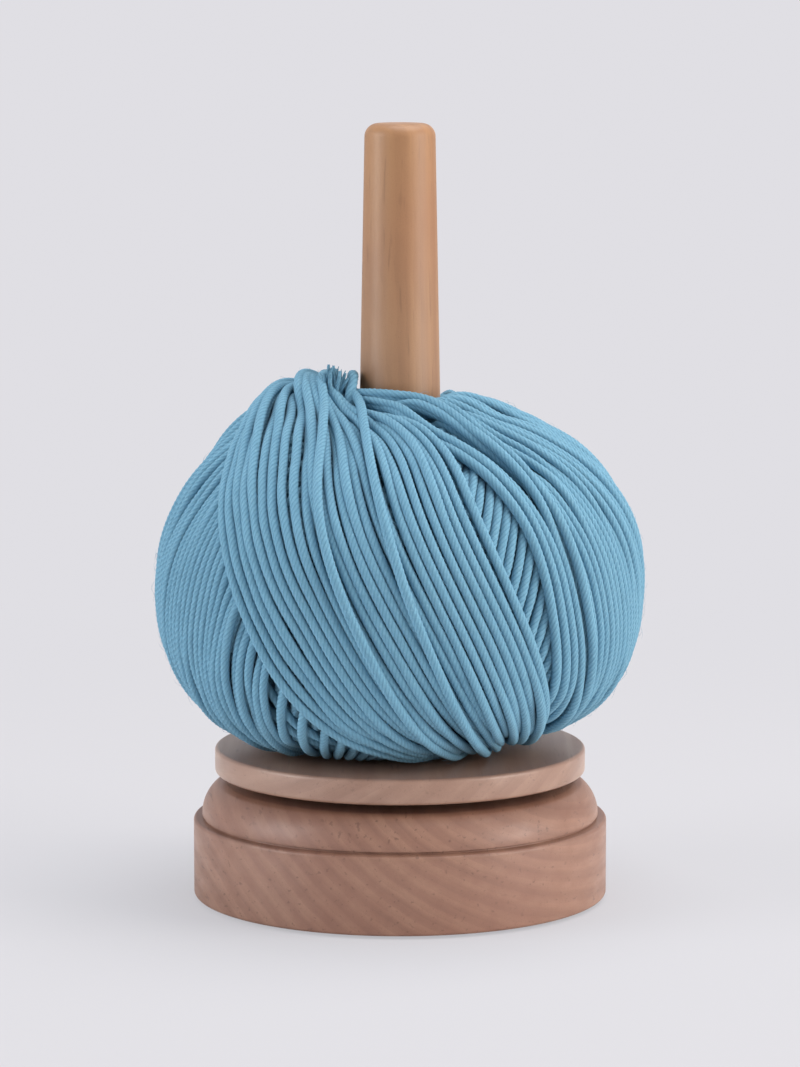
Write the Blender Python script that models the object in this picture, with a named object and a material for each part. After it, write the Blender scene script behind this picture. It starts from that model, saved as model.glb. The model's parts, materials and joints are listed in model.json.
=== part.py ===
"""Yarn ball holder: a turned beech base, and a plate with a tapered peg that spin on a ball bearing in it.

A ball of yarn sits on the plate with the peg through its middle, and lifts off over the peg's top.
Metres, +Z up. The origin is the middle of the underside, on the table, and the peg stands on the Z axis.
"""

import math

import bmesh
import bpy
import numpy as np
from mathutils import Matrix, Vector

mm = 0.001

# Gaps and modelling limits that serve every piece
touch_gap = 0.3 * mm
cut_overrun = 1.0 * mm
merge_distance = 0.001 * mm
corner_steps = 3
sharp_angle = math.radians(35)

# Felt pad, let into the underside
pad_inset = 3.5 * mm
pad_thickness = 1.9 * mm
pad_shows = 0.4 * mm

# Turned base: a drum, a ledge with a fine groove, and an ovolo up to a flat top
base_radius = 44.0 * mm
drum_height = 16.6 * mm
drum_round = 0.7 * mm
ledge_width = 1.8 * mm
groove_depth = 0.5 * mm
groove_width = 0.6 * mm
ovolo_height = 6.9 * mm
ovolo_inset = 4.0 * mm
ovolo_sweep = 65  # degrees
ovolo_steps = 6
base_segments = 48

# Ball bearing of the 6 x 19 x 6 mm size
bearing_radius = 9.5 * mm
bearing_bore = 3.0 * mm
bearing_width = 6.0 * mm
bearing_chamfer = 0.3 * mm
inner_land_radius = 4.9 * mm
outer_land_radius = 7.6 * mm
pitch_radius = 6.25 * mm
race_ball_radius = 1.75 * mm
race_ball_count = 7
race_sweep = 40  # degrees
race_steps = 4
shield_thickness = 0.3 * mm
ring_segments = 28
race_ball_segments = 10
race_ball_rings = 7

# Cage: a crown ring, open below, whose back closes over the balls
cage_wall = 1.5 * mm
cage_back = 0.35 * mm
cage_skirt = 1.2 * mm

# Retaining plate over the bearing's outer ring, and its three countersunk screws
retainer_thickness = 0.8 * mm
retainer_radius = 16.4 * mm
retainer_bore = 8.3 * mm
screw_count = 3
screw_circle = 13.0 * mm
screw_length = 9.0 * mm
screw_radius = 1.1 * mm
screw_head_radius = 2.1 * mm
screw_tip = 1.8 * mm
screw_slot_width = 0.5 * mm
screw_slot_depth = 0.4 * mm
screw_segments = 16

# Cap screw that clamps plate, spacer, inner ring and washer into one spindle
bolt_radius = 2.7 * mm
bolt_length = 30.0 * mm
bolt_chamfer = 0.6 * mm
head_radius = 5.0 * mm
head_height = 6.0 * mm
head_chamfer = 0.4 * mm
socket_flats = 5.0 * mm
socket_depth = 3.0 * mm
head_clearance = 2.0 * mm
washer_thickness = 1.6 * mm
spacer_radius = 4.6 * mm
hex_sides = 6

# Spinning plate
running_gap = 2.2 * mm
plate_radius = 39.4 * mm
plate_thickness = 5.4 * mm
plate_round = 0.8 * mm
peg_seat_depth = 2.5 * mm

# Tapered peg and the threaded insert in its foot
peg_foot_radius = 9.9 * mm
peg_tip_radius = 7.4 * mm
peg_length = 134.2 * mm
peg_round = 2.8 * mm
peg_round_steps = 5
peg_segments = 36
insert_radius = 4.2 * mm
insert_length = 13.0 * mm
insert_barbs = 4
insert_barb_depth = 0.5 * mm
bolt_tip_room = 1.5 * mm

# Yarn ball: its outer form, from the plate up
ball_radius = 51.7 * mm
ball_height = 73.7 * mm
ball_shoulder = 40.5 * mm
upper_power = 2.25
lower_power = 2.8
peg_clearance = 0.6 * mm
core_segments = 32
core_rings = 18

# Winding: one strand that goes round the ball, past the peg, again and again
strand_width = 2.4 * mm
strand_seat = 0.45 * mm
turn_gap = 0.75 * mm
turn_count = 22.5
points_per_turn = 24
first_azimuth = -52  # degrees
last_azimuth = 46  # degrees
azimuth_power = 1.1
crown_step = 1.75 * mm
foot_step = 3.6 * mm
turns_left_of_peg = 11
crown_from = -12  # degrees of latitude
foot_from = -15  # degrees of latitude
tangent_turns = 0.01
quarter_turn = 0.25
meridian_points = 200
gap_samples = 6

# Loose end of the yarn, tucked up beside the peg
tail_run = 0.5 * mm
tail_forward = 1.0 * mm
tail_rise = 4.6 * mm
tail_lean = 2.6 * mm
tail_bulge_share = 1.35
tail_tip_share = 0.8
tail_points = 7

# Places that follow from those sizes
pad_radius = base_radius - pad_inset
pad_ceiling = pad_thickness + touch_gap
pad_recess_radius = pad_radius + touch_gap
drum_top = pad_shows + drum_height
ledge_radius = base_radius - ledge_width
ovolo_foot = drum_top + groove_width
base_top = ovolo_foot + ovolo_height
retainer_floor = base_top - retainer_thickness - touch_gap
bearing_top = retainer_floor
bearing_bottom = bearing_top - bearing_width
bearing_middle = (bearing_top + bearing_bottom) / 2
pocket_radius = bearing_radius + touch_gap
pocket_floor = bearing_bottom - touch_gap
race_radius = race_ball_radius + touch_gap
washer_top = bearing_bottom - touch_gap
washer_bottom = washer_top - washer_thickness
head_top = washer_bottom - touch_gap
access_radius = head_radius + head_clearance
bolt_passage = bolt_radius + touch_gap
plate_bottom = base_top + running_gap
plate_top = plate_bottom + plate_thickness
peg_seat_floor = plate_top - peg_seat_depth
peg_bottom = peg_seat_floor + touch_gap
peg_top = peg_bottom + peg_length
insert_top = peg_bottom + insert_length
bolt_top = head_top + bolt_length
yarn_bore_radius = peg_foot_radius + peg_clearance
chord_sink = ball_radius * (1 - math.cos(math.pi / points_per_turn))
strand_ride = strand_seat + chord_sink
core_depth = ball_radius - strand_width - strand_ride
core_rise = ball_shoulder
core_drop = ball_height - ball_shoulder - strand_width - strand_ride


def clear_scene():
    for item in list(bpy.data.objects):
        bpy.data.objects.remove(item)


def make_material(name, colour, roughness, metallic=0.0):
    material = bpy.data.materials.new(name)
    material.use_nodes = True
    shader = material.node_tree.nodes["Principled BSDF"]
    shader.inputs["Base Color"].default_value = (*colour, 1.0)
    shader.inputs["Roughness"].default_value = roughness
    shader.inputs["Metallic"].default_value = metallic
    material.diffuse_color = (*colour, 1.0)
    return material


def place(name, data, finish, parent=None, location=(0, 0, 0)):
    """Adds an object with its own copy of a finish (a colour, a roughness and a metallic value)."""
    piece = bpy.data.objects.new(name, data)
    bpy.context.scene.collection.objects.link(piece)
    piece.location = location
    piece.parent = parent
    if not data.materials:
        data.materials.append(None)
    piece.material_slots[0].link = "OBJECT"
    piece.material_slots[0].material = make_material(name, *finish)
    return piece


def axis_empty(name):
    """An empty on the Z axis that carries the pieces that turn or slide together."""
    empty = bpy.data.objects.new(name, None)
    bpy.context.scene.collection.objects.link(empty)
    return empty


def finish_mesh(name, shape):
    mesh = bpy.data.meshes.new(name)
    bmesh.ops.recalc_face_normals(shape, faces=shape.faces)
    shape.to_mesh(mesh)
    shape.free()
    mesh.shade_smooth()
    mesh.set_sharp_from_angle(angle=sharp_angle)
    return mesh


def arc(centre, radii, start, end, steps):
    """(radius, height) points along part of an ellipse, angles in degrees from the outward direction."""
    angles = np.radians(np.linspace(start, end, steps + 1))
    return [(centre[0] + radii[0] * math.cos(a), centre[1] + radii[1] * math.sin(a)) for a in angles]


def turned(name, outline, segments):
    """Spins an outline of (radius, height) points: a closed loop, or a line from the axis back to it."""
    shape = bmesh.new()
    corners = [shape.verts.new((radius, 0, height)) for radius, height in outline]
    pairs = list(zip(corners, corners[1:]))
    if outline[0][0] > 0:
        pairs.append((corners[-1], corners[0]))
    edges = [shape.edges.new(pair) for pair in pairs]
    bmesh.ops.spin(
        shape, geom=corners + edges, cent=(0, 0, 0), axis=(0, 0, 1),
        angle=math.tau, steps=segments, use_merge=True,
    )
    bmesh.ops.remove_doubles(shape, verts=shape.verts, dist=merge_distance)
    return finish_mesh(name, shape)


def cut(piece, name, shape):
    """Takes a shape out of a piece, with a hidden cutter that moves with it."""
    cutter = bpy.data.objects.new(name, finish_mesh(name, shape))
    bpy.context.scene.collection.objects.link(cutter)
    cutter.parent = piece.parent
    cutter.hide_render = True
    cutter.display_type = "WIRE"
    modifier = piece.modifiers.new(name, "BOOLEAN")
    modifier.operation = "DIFFERENCE"
    modifier.object = cutter


def prism(shape, radius, bottom, top, sides, centre=(0, 0), top_radius=None):
    """Adds an upright prism, cylinder or cone to a shape."""
    middle = Matrix.Translation((*centre, (bottom + top) / 2))
    wide = radius if top_radius is None else top_radius
    bmesh.ops.create_cone(
        shape, cap_ends=True, segments=sides,
        radius1=radius, radius2=wide, depth=top - bottom, matrix=middle,
    )


def ring_outline(bore, radius, bottom, top, chamfer):
    return [
        (bore + chamfer, bottom), (radius - chamfer, bottom), (radius, bottom + chamfer),
        (radius, top - chamfer), (radius - chamfer, top), (bore + chamfer, top),
        (bore, top - chamfer), (bore, bottom + chamfer),
    ]


def screw_places():
    angles = [math.tau * i / screw_count for i in range(screw_count)]
    return [(screw_circle * math.cos(a), screw_circle * math.sin(a)) for a in angles]


def peg_radius_at(height):
    share = (height - peg_bottom) / peg_length
    return peg_foot_radius + (peg_tip_radius - peg_foot_radius) * share


beech = ((0.40, 0.235, 0.165), 0.55)
beech_light = ((0.47, 0.30, 0.19), 0.45)
felt = ((0.055, 0.05, 0.048), 0.95)
bright_steel = ((0.62, 0.62, 0.63), 0.22, 1.0)
zinc_steel = ((0.55, 0.56, 0.58), 0.38, 1.0)
pressed_steel = ((0.48, 0.48, 0.50), 0.42, 1.0)
brass = ((0.72, 0.52, 0.22), 0.35, 1.0)
blue_yarn = ((0.15, 0.32, 0.45), 0.9)


def make_pad():
    outline = [(0, 0), (pad_radius, 0), (pad_radius, pad_thickness), (0, pad_thickness)]
    place("felt_pad", turned("felt_pad", outline, base_segments), felt)


def base_outline():
    edge = base_radius - drum_round
    ovolo_radius = ovolo_inset / (1 - math.cos(math.radians(ovolo_sweep)))
    ovolo_rise = ovolo_height / math.sin(math.radians(ovolo_sweep))
    outline = [
        (access_radius, pad_ceiling),
        (pad_recess_radius, pad_ceiling),
        (pad_recess_radius, pad_shows),
    ]
    outline += arc((edge, pad_shows + drum_round), (drum_round, drum_round), -90, 0, corner_steps)
    outline += arc((edge, drum_top - drum_round), (drum_round, drum_round), 0, 90, corner_steps)
    outline += [
        (ledge_radius - groove_depth, drum_top),
        (ledge_radius - groove_depth, ovolo_foot),
    ]
    centre = (ledge_radius - ovolo_radius, ovolo_foot)
    outline += arc(centre, (ovolo_radius, ovolo_rise), 0, ovolo_sweep, ovolo_steps)
    outline += [
        (retainer_radius + touch_gap, base_top),
        (retainer_radius + touch_gap, retainer_floor),
        (pocket_radius, retainer_floor),
        (pocket_radius, pocket_floor),
        (access_radius, pocket_floor),
    ]
    return outline


def make_base():
    base = place("base", turned("base", base_outline(), base_segments), beech)
    pilots = bmesh.new()
    for centre in screw_places():
        bottom = retainer_floor - screw_length
        top = retainer_floor + cut_overrun
        prism(pilots, screw_radius + touch_gap, bottom, top, screw_segments, centre)
    cut(base, "base_pilot_holes", pilots)


def race(side):
    """Points of the ball groove, from its upper edge down, in the outer ring (1) or the inner ring (-1)."""
    radii = (side * race_radius, race_radius)
    return arc((pitch_radius, bearing_middle), radii, race_sweep, -race_sweep, race_steps)


def make_bearing_rings(spinner):
    c = bearing_chamfer
    outer = [(outer_land_radius, bearing_bottom), (bearing_radius - c, bearing_bottom)]
    outer += [(bearing_radius, bearing_bottom + c), (bearing_radius, bearing_top - c)]
    outer += [(bearing_radius - c, bearing_top), (outer_land_radius, bearing_top)]
    outer += race(1)
    inner = [(inner_land_radius, bearing_bottom), (bearing_bore + c, bearing_bottom)]
    inner += [(bearing_bore, bearing_bottom + c), (bearing_bore, bearing_top - c)]
    inner += [(bearing_bore + c, bearing_top), (inner_land_radius, bearing_top)]
    inner += race(-1)
    place("bearing_outer_ring", turned("bearing_outer_ring", outer, ring_segments), bright_steel)
    place("bearing_inner_ring", turned("bearing_inner_ring", inner, ring_segments), bright_steel, spinner)


def make_shields():
    bore = inner_land_radius + touch_gap
    radius = outer_land_radius - touch_gap
    levels = {
        "bearing_shield_lower": bearing_bottom,
        "bearing_shield_upper": bearing_top - shield_thickness,
    }
    for name, bottom in levels.items():
        top = bottom + shield_thickness
        outline = [(bore, bottom), (radius, bottom), (radius, top), (bore, top)]
        place(name, turned(name, outline, ring_segments), zinc_steel)


def ball_places():
    angles = [math.tau * i / race_ball_count for i in range(race_ball_count)]
    return [(pitch_radius * math.cos(a), pitch_radius * math.sin(a), bearing_middle) for a in angles]


def add_sphere(shape, radius, centre=(0, 0, 0)):
    bmesh.ops.create_uvsphere(
        shape, u_segments=race_ball_segments, v_segments=race_ball_rings, radius=radius,
        matrix=Matrix.Translation(centre),
    )


def make_cage(ball_set):
    bottom = bearing_middle - cage_skirt
    top = bearing_middle + race_radius + cage_back
    bore = pitch_radius - cage_wall / 2
    radius = pitch_radius + cage_wall / 2
    outline = [(bore, bottom), (radius, bottom), (radius, top), (bore, top)]
    cage = place("bearing_cage", turned("bearing_cage", outline, ring_segments), pressed_steel, ball_set)
    pockets = bmesh.new()
    for centre in ball_places():
        add_sphere(pockets, race_radius, centre)
    cut(cage, "bearing_cage_pockets", pockets)


def make_race_balls(ball_set):
    sphere = bmesh.new()
    add_sphere(sphere, race_ball_radius)
    mesh = finish_mesh("bearing_ball", sphere)
    for number, centre in enumerate(ball_places(), start=1):
        place(f"bearing_ball_{number}", mesh, bright_steel, ball_set, centre)


def make_retainer():
    bottom = base_top - retainer_thickness
    outline = [
        (retainer_bore, bottom), (retainer_radius, bottom),
        (retainer_radius, base_top), (retainer_bore, base_top),
    ]
    mesh = turned("bearing_retainer", outline, ring_segments)
    retainer = place("bearing_retainer", mesh, pressed_steel)
    holes = bmesh.new()
    foot = base_top - (screw_head_radius - screw_radius)
    narrow = screw_radius + touch_gap
    wide = screw_head_radius + touch_gap + cut_overrun
    for centre in screw_places():
        prism(holes, narrow, foot, base_top + cut_overrun, screw_segments, centre, wide)
    cut(retainer, "bearing_retainer_holes", holes)


def make_retainer_screws():
    head_foot = base_top - (screw_head_radius - screw_radius)
    tip = base_top - screw_length
    outline = [
        (0, tip), (screw_radius, tip + screw_tip), (screw_radius, head_foot),
        (screw_head_radius, base_top), (0, base_top),
    ]
    mesh = turned("retainer_screw", outline, screw_segments)
    for number, centre in enumerate(screw_places(), start=1):
        name = f"retainer_screw_{number}"
        screw = place(name, mesh, zinc_steel, location=(*centre, 0))
        slot = bmesh.new()
        length = 2 * (screw_head_radius + cut_overrun)
        depth = screw_slot_depth + cut_overrun
        middle = base_top - screw_slot_depth + depth / 2
        stretch = Matrix.Diagonal((length, screw_slot_width, depth, 1))
        bmesh.ops.create_cube(slot, size=1, matrix=Matrix.Translation((*centre, middle)) @ stretch)
        cut(screw, f"{name}_slot", slot)


def make_spindle(spinner):
    c = bolt_chamfer
    outline = [
        (0, head_top - head_height), (head_radius - head_chamfer, head_top - head_height),
        (head_radius, head_top - head_height + head_chamfer), (head_radius, head_top),
        (bolt_radius, head_top), (bolt_radius, bolt_top - c), (bolt_radius - c, bolt_top), (0, bolt_top),
    ]
    bolt = place("spindle_bolt", turned("spindle_bolt", outline, ring_segments), zinc_steel, spinner)
    socket = bmesh.new()
    corner = socket_flats / 2 / math.cos(math.pi / hex_sides)
    bottom = head_top - head_height - cut_overrun
    prism(socket, corner, bottom, head_top - head_height + socket_depth, hex_sides)
    cut(bolt, "spindle_bolt_socket", socket)

    washer = ring_outline(bolt_passage, spacer_radius, washer_bottom, washer_top, bearing_chamfer / 2)
    place("spindle_washer", turned("spindle_washer", washer, ring_segments), zinc_steel, spinner)
    spacer = ring_outline(
        bolt_passage, spacer_radius, bearing_top + touch_gap, plate_bottom - touch_gap, bearing_chamfer
    )
    place("spindle_spacer", turned("spindle_spacer", spacer, ring_segments), brass, spinner)


def make_plate(spinner):
    edge = plate_radius - plate_round
    corner = (plate_round, plate_round)
    outline = [(bolt_passage, plate_bottom)]
    outline += arc((edge, plate_bottom + plate_round), corner, -90, 0, corner_steps)
    outline += arc((edge, plate_top - plate_round), corner, 0, 90, corner_steps)
    outline += [
        (peg_foot_radius + touch_gap, plate_top),
        (peg_foot_radius + touch_gap, peg_seat_floor),
        (bolt_passage, peg_seat_floor),
    ]
    place("spinning_plate", turned("spinning_plate", outline, base_segments), beech, spinner)


def make_peg(spinner):
    hole_top = bolt_top + bolt_tip_room
    outline = [
        (0, hole_top), (bolt_passage, hole_top), (bolt_passage, insert_top + touch_gap),
        (insert_radius + touch_gap, insert_top + touch_gap), (insert_radius + touch_gap, peg_bottom),
        (peg_foot_radius, peg_bottom),
    ]
    shoulder = peg_radius_at(peg_top - peg_round)
    centre = (shoulder - peg_round, peg_top - peg_round)
    outline += arc(centre, (peg_round, peg_round), 0, 90, peg_round_steps)
    outline.append((0, peg_top))
    place("peg", turned("peg", outline, peg_segments), beech_light, spinner)


def make_insert(spinner):
    barb = insert_length / insert_barbs
    outline = [(bolt_passage, peg_bottom)]
    for i in range(insert_barbs):
        foot = peg_bottom + i * barb
        outline += [(insert_radius, foot), (insert_radius - insert_barb_depth, foot + barb)]
    outline.append((bolt_passage, insert_top))
    place("peg_insert", turned("peg_insert", outline, ring_segments), brass, spinner)


def core_surface(direction):
    """The core's point in a direction from the ball's middle, and the way it faces there."""
    x, y, z = direction
    reach, power = (core_rise, upper_power) if z >= 0 else (core_drop, lower_power)
    flat = (x / ball_radius) ** 2 + (y / core_depth) ** 2
    scale = (flat ** (power / 2) + (abs(z) / reach) ** power) ** (-1 / power)
    x, y, z = x * scale, y * scale, z * scale
    flat = (x / ball_radius) ** 2 + (y / core_depth) ** 2
    pull = flat ** (power / 2 - 1)
    slope = math.copysign((abs(z) / reach) ** (power - 1) / reach, z)
    facing = Vector((pull * x / ball_radius**2, pull * y / core_depth**2, slope))
    return Vector((x, y, z)), facing.normalized()


def make_core(yarn_ball, ball_middle):
    shape = bmesh.new()
    bmesh.ops.create_uvsphere(shape, u_segments=core_segments, v_segments=core_rings, radius=1)
    for corner in shape.verts:
        corner.co = core_surface(corner.co)[0] + Vector((0, 0, ball_middle))
    core = place("yarn_core", finish_mesh("yarn_core", shape), blue_yarn, yarn_ball)
    bore = bmesh.new()
    bottom = ball_middle - core_drop - cut_overrun
    prism(bore, yarn_bore_radius, bottom, ball_middle + core_rise + cut_overrun, core_segments)
    cut(core, "yarn_core_bore", bore)


def meridian(side):
    """Arc length from the pole against sideways share of the direction, over the top (1) or below (-1)."""
    angles = np.linspace(0, math.pi / 2, meridian_points)
    points = np.array([core_surface((math.sin(a), 0, side * math.cos(a)))[0] for a in angles])
    steps = np.linalg.norm(np.diff(points, axis=0), axis=1)
    return np.concatenate([[0], np.cumsum(steps)]), np.sin(angles)


def ease(share):
    share = min(max(share, 0), 1)
    return share * share * (3 - 2 * share)


def sideways(turn, latitude, over, under):
    """How far to the side the strand lies, as a share of 1, at a turn and a latitude in degrees."""
    crown_clear = peg_radius_at(plate_top + ball_height) + strand_width / 2 + peg_clearance
    foot_clear = peg_radius_at(plate_top) + strand_width / 2 + peg_clearance
    progress = max(turn / turn_count, 0)
    azimuth = first_azimuth + (last_azimuth - first_azimuth) * progress**azimuth_power
    at_equator = math.sin(math.radians(azimuth))
    at_crown = -np.interp(crown_clear + crown_step * (turn_count - turn), *over)
    if turn < turns_left_of_peg - 2 * quarter_turn:
        at_foot = -np.interp(foot_clear + foot_step * (turns_left_of_peg - 1 - turn), *under)
    else:
        at_foot = np.interp(foot_clear + foot_step * (turn - turns_left_of_peg), *under)
    to_crown = ease((latitude - crown_from) / (90 - crown_from))
    to_foot = ease((foot_from - latitude) / (90 + foot_from))
    return at_equator * (1 - to_crown - to_foot) + at_crown * to_crown + at_foot * to_foot


def strand_at(turn, over, under):
    """Where the strand crosses the core at a turn, counted from below, and the way the core faces there."""
    angle = math.tau * turn - math.pi / 2
    latitude = math.degrees(math.asin(math.sin(angle)))
    x = sideways(turn, latitude, over, under)
    rest = math.sqrt(1 - x * x)
    return core_surface((x, -rest * math.cos(angle), rest * math.sin(angle)))


def direction_at(turn, over, under):
    before, after = (strand_at(turn + step, over, under)[0] for step in (-tangent_turns, tangent_turns))
    return (after - before).normalized()


def winding_route():
    """The strand's middle line, from the ball's middle. Where turns crowd, every other one rides up."""
    over, under = meridian(1), meridian(-1)
    pitch = strand_width + turn_gap
    route = []
    for step in range(int(turn_count * points_per_turn) + 1):
        turn = step / points_per_turn
        point, facing = strand_at(turn, over, under)
        lift = 0
        if int(turn + quarter_turn) % 2 == 0:
            along = direction_at(turn, over, under)
            others = [turn + o for o in (-1, 1) if 0 <= turn + o <= turn_count]
            offsets = [strand_at(other, over, under)[0] - point for other in others]
            apart = min((offset - along * offset.dot(along)).length for offset in offsets)
            lift = math.sqrt(max(0, pitch**2 - apart**2))
        route.append(point + facing * (strand_width / 2 + strand_ride + lift))
    route.insert(0, route[0] - direction_at(0, over, under) * strand_width)
    route.append(route[-1] + direction_at(turn_count, over, under) * strand_width)
    return route


def least_gap(route):
    """The least gap between two turns of the strand, measured on points along the route."""
    points = np.array([tuple(p) for p in route])
    shares = np.linspace(0, 1, gap_samples, endpoint=False)[:, None]
    samples = np.concatenate([a + (b - a) * shares for a, b in zip(points[:-1], points[1:])])
    near = points_per_turn * gap_samples // 2
    rest = range(len(samples) - near)
    return min(np.linalg.norm(samples[i + near:] - samples[i], axis=1).min() for i in rest) - strand_width


def tube(name, points, radius, shares, parent):
    curve = bpy.data.curves.new(name, "CURVE")
    curve.dimensions = "3D"
    curve.bevel_depth = radius
    curve.bevel_resolution = 1
    curve.use_fill_caps = True
    spline = curve.splines.new("POLY")
    spline.points.add(len(points) - 1)
    for corner, point, share in zip(spline.points, points, shares):
        corner.co = (*point, 1)
        corner.radius = share
    place(name, curve, blue_yarn, parent)


def make_tail(yarn_ball, end, along):
    foot = end + along * touch_gap
    points = [foot]
    shares = [1]
    bend = foot + along * tail_run
    for step in range(tail_points):
        share = step / (tail_points - 1)
        sweep = share * math.pi / 2
        rise = Vector((-tail_lean * share**2, 0, tail_rise * (1 - math.cos(sweep))))
        points.append(bend + along * tail_forward * math.sin(sweep) + rise)
        bulge = math.sin(share * math.pi)
        shares.append(1 + (tail_bulge_share - 1) * bulge + (tail_tip_share - 1) * share**2)
    tube("yarn_tail", points, strand_width / 2, shares, yarn_ball)


def make_yarn(yarn_ball):
    """The ball rests on its lowest turn, so the winding says how high its middle lies."""
    route = winding_route()
    lowest = min(point.z for point in route) - strand_width / 2
    ball_middle = plate_top + touch_gap - lowest
    route = [point + Vector((0, 0, ball_middle)) for point in route]
    make_core(yarn_ball, ball_middle)
    tube("yarn_winding", route, strand_width / 2, [1] * len(route), yarn_ball)
    make_tail(yarn_ball, route[-1], (route[-1] - route[-2]).normalized())
    print(f"yarn winding: least gap between its turns {least_gap(route) / mm:.2f} mm")
    print(f"yarn ball: middle {ball_middle / mm:.2f} mm up")


def main():
    clear_scene()
    make_pad()
    make_base()
    spinner = axis_empty("spinner_axis")
    ball_set = axis_empty("ball_set_axis")
    yarn_ball = axis_empty("yarn_ball_axis")
    make_bearing_rings(spinner)
    make_shields()
    make_cage(ball_set)
    make_race_balls(ball_set)
    make_retainer()
    make_retainer_screws()
    make_spindle(spinner)
    make_plate(spinner)
    make_peg(spinner)
    make_insert(spinner)
    make_yarn(yarn_ball)
    print(f"height {peg_top / mm:.1f} mm, plate top {plate_top / mm:.1f} mm up")


main()
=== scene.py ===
# %% [markdown]
# # A yarn ball holder
#
# A round base stands on the table, a plate spins on a ball bearing in it, and a tapered peg rises from
# the plate. A ball of yarn sits on the plate with the peg through its middle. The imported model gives
# every piece its place and its motion. This lesson gives them their looks: turned beech, twisted yarn,
# felt and metal. All lengths are in metres, +Z is up, and the peg stands on the Z axis.

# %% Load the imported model
import json
import math

import bpy
import numpy as np
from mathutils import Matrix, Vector


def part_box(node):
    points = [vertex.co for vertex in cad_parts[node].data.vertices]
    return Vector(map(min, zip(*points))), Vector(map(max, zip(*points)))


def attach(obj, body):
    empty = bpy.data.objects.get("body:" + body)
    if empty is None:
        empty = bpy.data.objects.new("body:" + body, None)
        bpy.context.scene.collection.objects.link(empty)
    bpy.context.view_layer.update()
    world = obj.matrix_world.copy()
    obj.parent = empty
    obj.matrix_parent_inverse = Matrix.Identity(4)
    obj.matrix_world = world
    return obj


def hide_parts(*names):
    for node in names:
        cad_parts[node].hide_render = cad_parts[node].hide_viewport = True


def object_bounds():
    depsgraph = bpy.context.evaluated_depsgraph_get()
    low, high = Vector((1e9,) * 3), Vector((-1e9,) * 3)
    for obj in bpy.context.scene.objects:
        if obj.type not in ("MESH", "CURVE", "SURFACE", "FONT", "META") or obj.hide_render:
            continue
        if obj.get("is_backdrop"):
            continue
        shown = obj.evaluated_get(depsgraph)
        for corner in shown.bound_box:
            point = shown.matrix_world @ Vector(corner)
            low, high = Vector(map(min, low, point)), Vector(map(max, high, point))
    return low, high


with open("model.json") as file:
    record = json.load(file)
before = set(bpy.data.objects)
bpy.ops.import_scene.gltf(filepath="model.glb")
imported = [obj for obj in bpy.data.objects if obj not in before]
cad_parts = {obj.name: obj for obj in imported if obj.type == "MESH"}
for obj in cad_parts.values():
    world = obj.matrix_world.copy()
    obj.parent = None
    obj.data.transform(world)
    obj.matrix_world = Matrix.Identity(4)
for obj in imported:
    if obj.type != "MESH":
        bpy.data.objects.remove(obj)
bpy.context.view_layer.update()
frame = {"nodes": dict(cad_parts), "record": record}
mm = 0.001

# %% [markdown]
# ## Camera
#
# The picture was taken from close by, with the camera a little above the peg's top, so the rim of the
# plate and the ledge of the base show as flat ellipses. A long lens at about 0.9 m gives the same ones.

# %% Camera
camera_place = Vector((0, -0.92, 0.205))
camera_aim = Vector((0, 0, 0.0775))
focal_length = 148
look = camera_aim - camera_place
bpy.ops.object.select_all(action="DESELECT")
bpy.ops.object.camera_add(location=camera_place, rotation=look.to_track_quat("-Z", "Y").to_euler())
camera = bpy.context.object
camera.data.lens = focal_length
camera.data.clip_start = 0.05
bpy.context.scene.camera = camera
print("camera", round(look.length, 3), "m away")

# %% [markdown]
# ## Light, floor and background
#
# Product pictures like this one are lit with large soft boxes at both sides and above, so the middle of
# each round form is a little darker than its sides. The floor is plain and pale. Away from the object it
# turns into the background colour for the camera only, so that there is no horizon, and the shadow stays.
# From below one looks through it, onto the underside of the base.

# %% Soft boxes
def soft_box(name, place, width, height, power, colour=(1, 1, 1)):
    """A flat lamp that faces the middle of the object. Its power is in watts."""
    bpy.ops.object.select_all(action="DESELECT")
    turn = (lit_middle - Vector(place)).to_track_quat("-Z", "Y").to_euler()
    bpy.ops.object.light_add(type="AREA", location=place, rotation=turn)
    lamp = bpy.context.object
    lamp.name = name
    lamp.data.shape = "RECTANGLE"
    lamp.data.size, lamp.data.size_y = width, height
    lamp.data.energy = power
    lamp.data.color = colour


lit_middle = Vector((0, 0, 0.07))
warm = (1, 0.94, 0.87)
half_warm = (1, 0.97, 0.95)
soft_box("box_right", (1.20, -0.42, 0.38), width=0.8, height=1.1, power=16.5, colour=warm)
soft_box("box_left", (-1.25, -0.35, 0.42), width=0.8, height=1.1, power=13.5)
soft_box("box_above", (0.25, 0.1, 1.3), width=1.1, height=1.1, power=17, colour=half_warm)
soft_box("box_low", (0.95, -0.45, 0.16), width=0.5, height=0.2, power=1.2, colour=warm)
soft_box("box_front", (0.1, -1.5, 1.2), width=0.9, height=0.9, power=1.0)
print("5 soft boxes")

# %% Background
backdrop_colour = (0.745, 0.736, 0.774, 1)
ambient_colour = (0.88, 0.94, 1, 1)
ambient_strength = 0.38
world = bpy.data.worlds.new("studio")
bpy.context.scene.world = world
world.use_nodes = True
tree = world.node_tree
tree.nodes.clear()
paths = tree.nodes.new("ShaderNodeLightPath")
seen = tree.nodes.new("ShaderNodeMath")
seen.operation = "ADD"
seen.use_clamp = True
tree.links.new(paths.outputs["Is Camera Ray"], seen.inputs[0])
tree.links.new(paths.outputs["Is Glossy Ray"], seen.inputs[1])
also = tree.nodes.new("ShaderNodeMath")
also.operation = "ADD"
also.use_clamp = True
tree.links.new(seen.outputs[0], also.inputs[0])
tree.links.new(paths.outputs["Is Transmission Ray"], also.inputs[1])
shown = tree.nodes.new("ShaderNodeBackground")
shown.inputs["Color"].default_value = backdrop_colour
ambient = tree.nodes.new("ShaderNodeBackground")
ambient.inputs["Color"].default_value = ambient_colour
ambient.inputs["Strength"].default_value = ambient_strength
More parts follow.
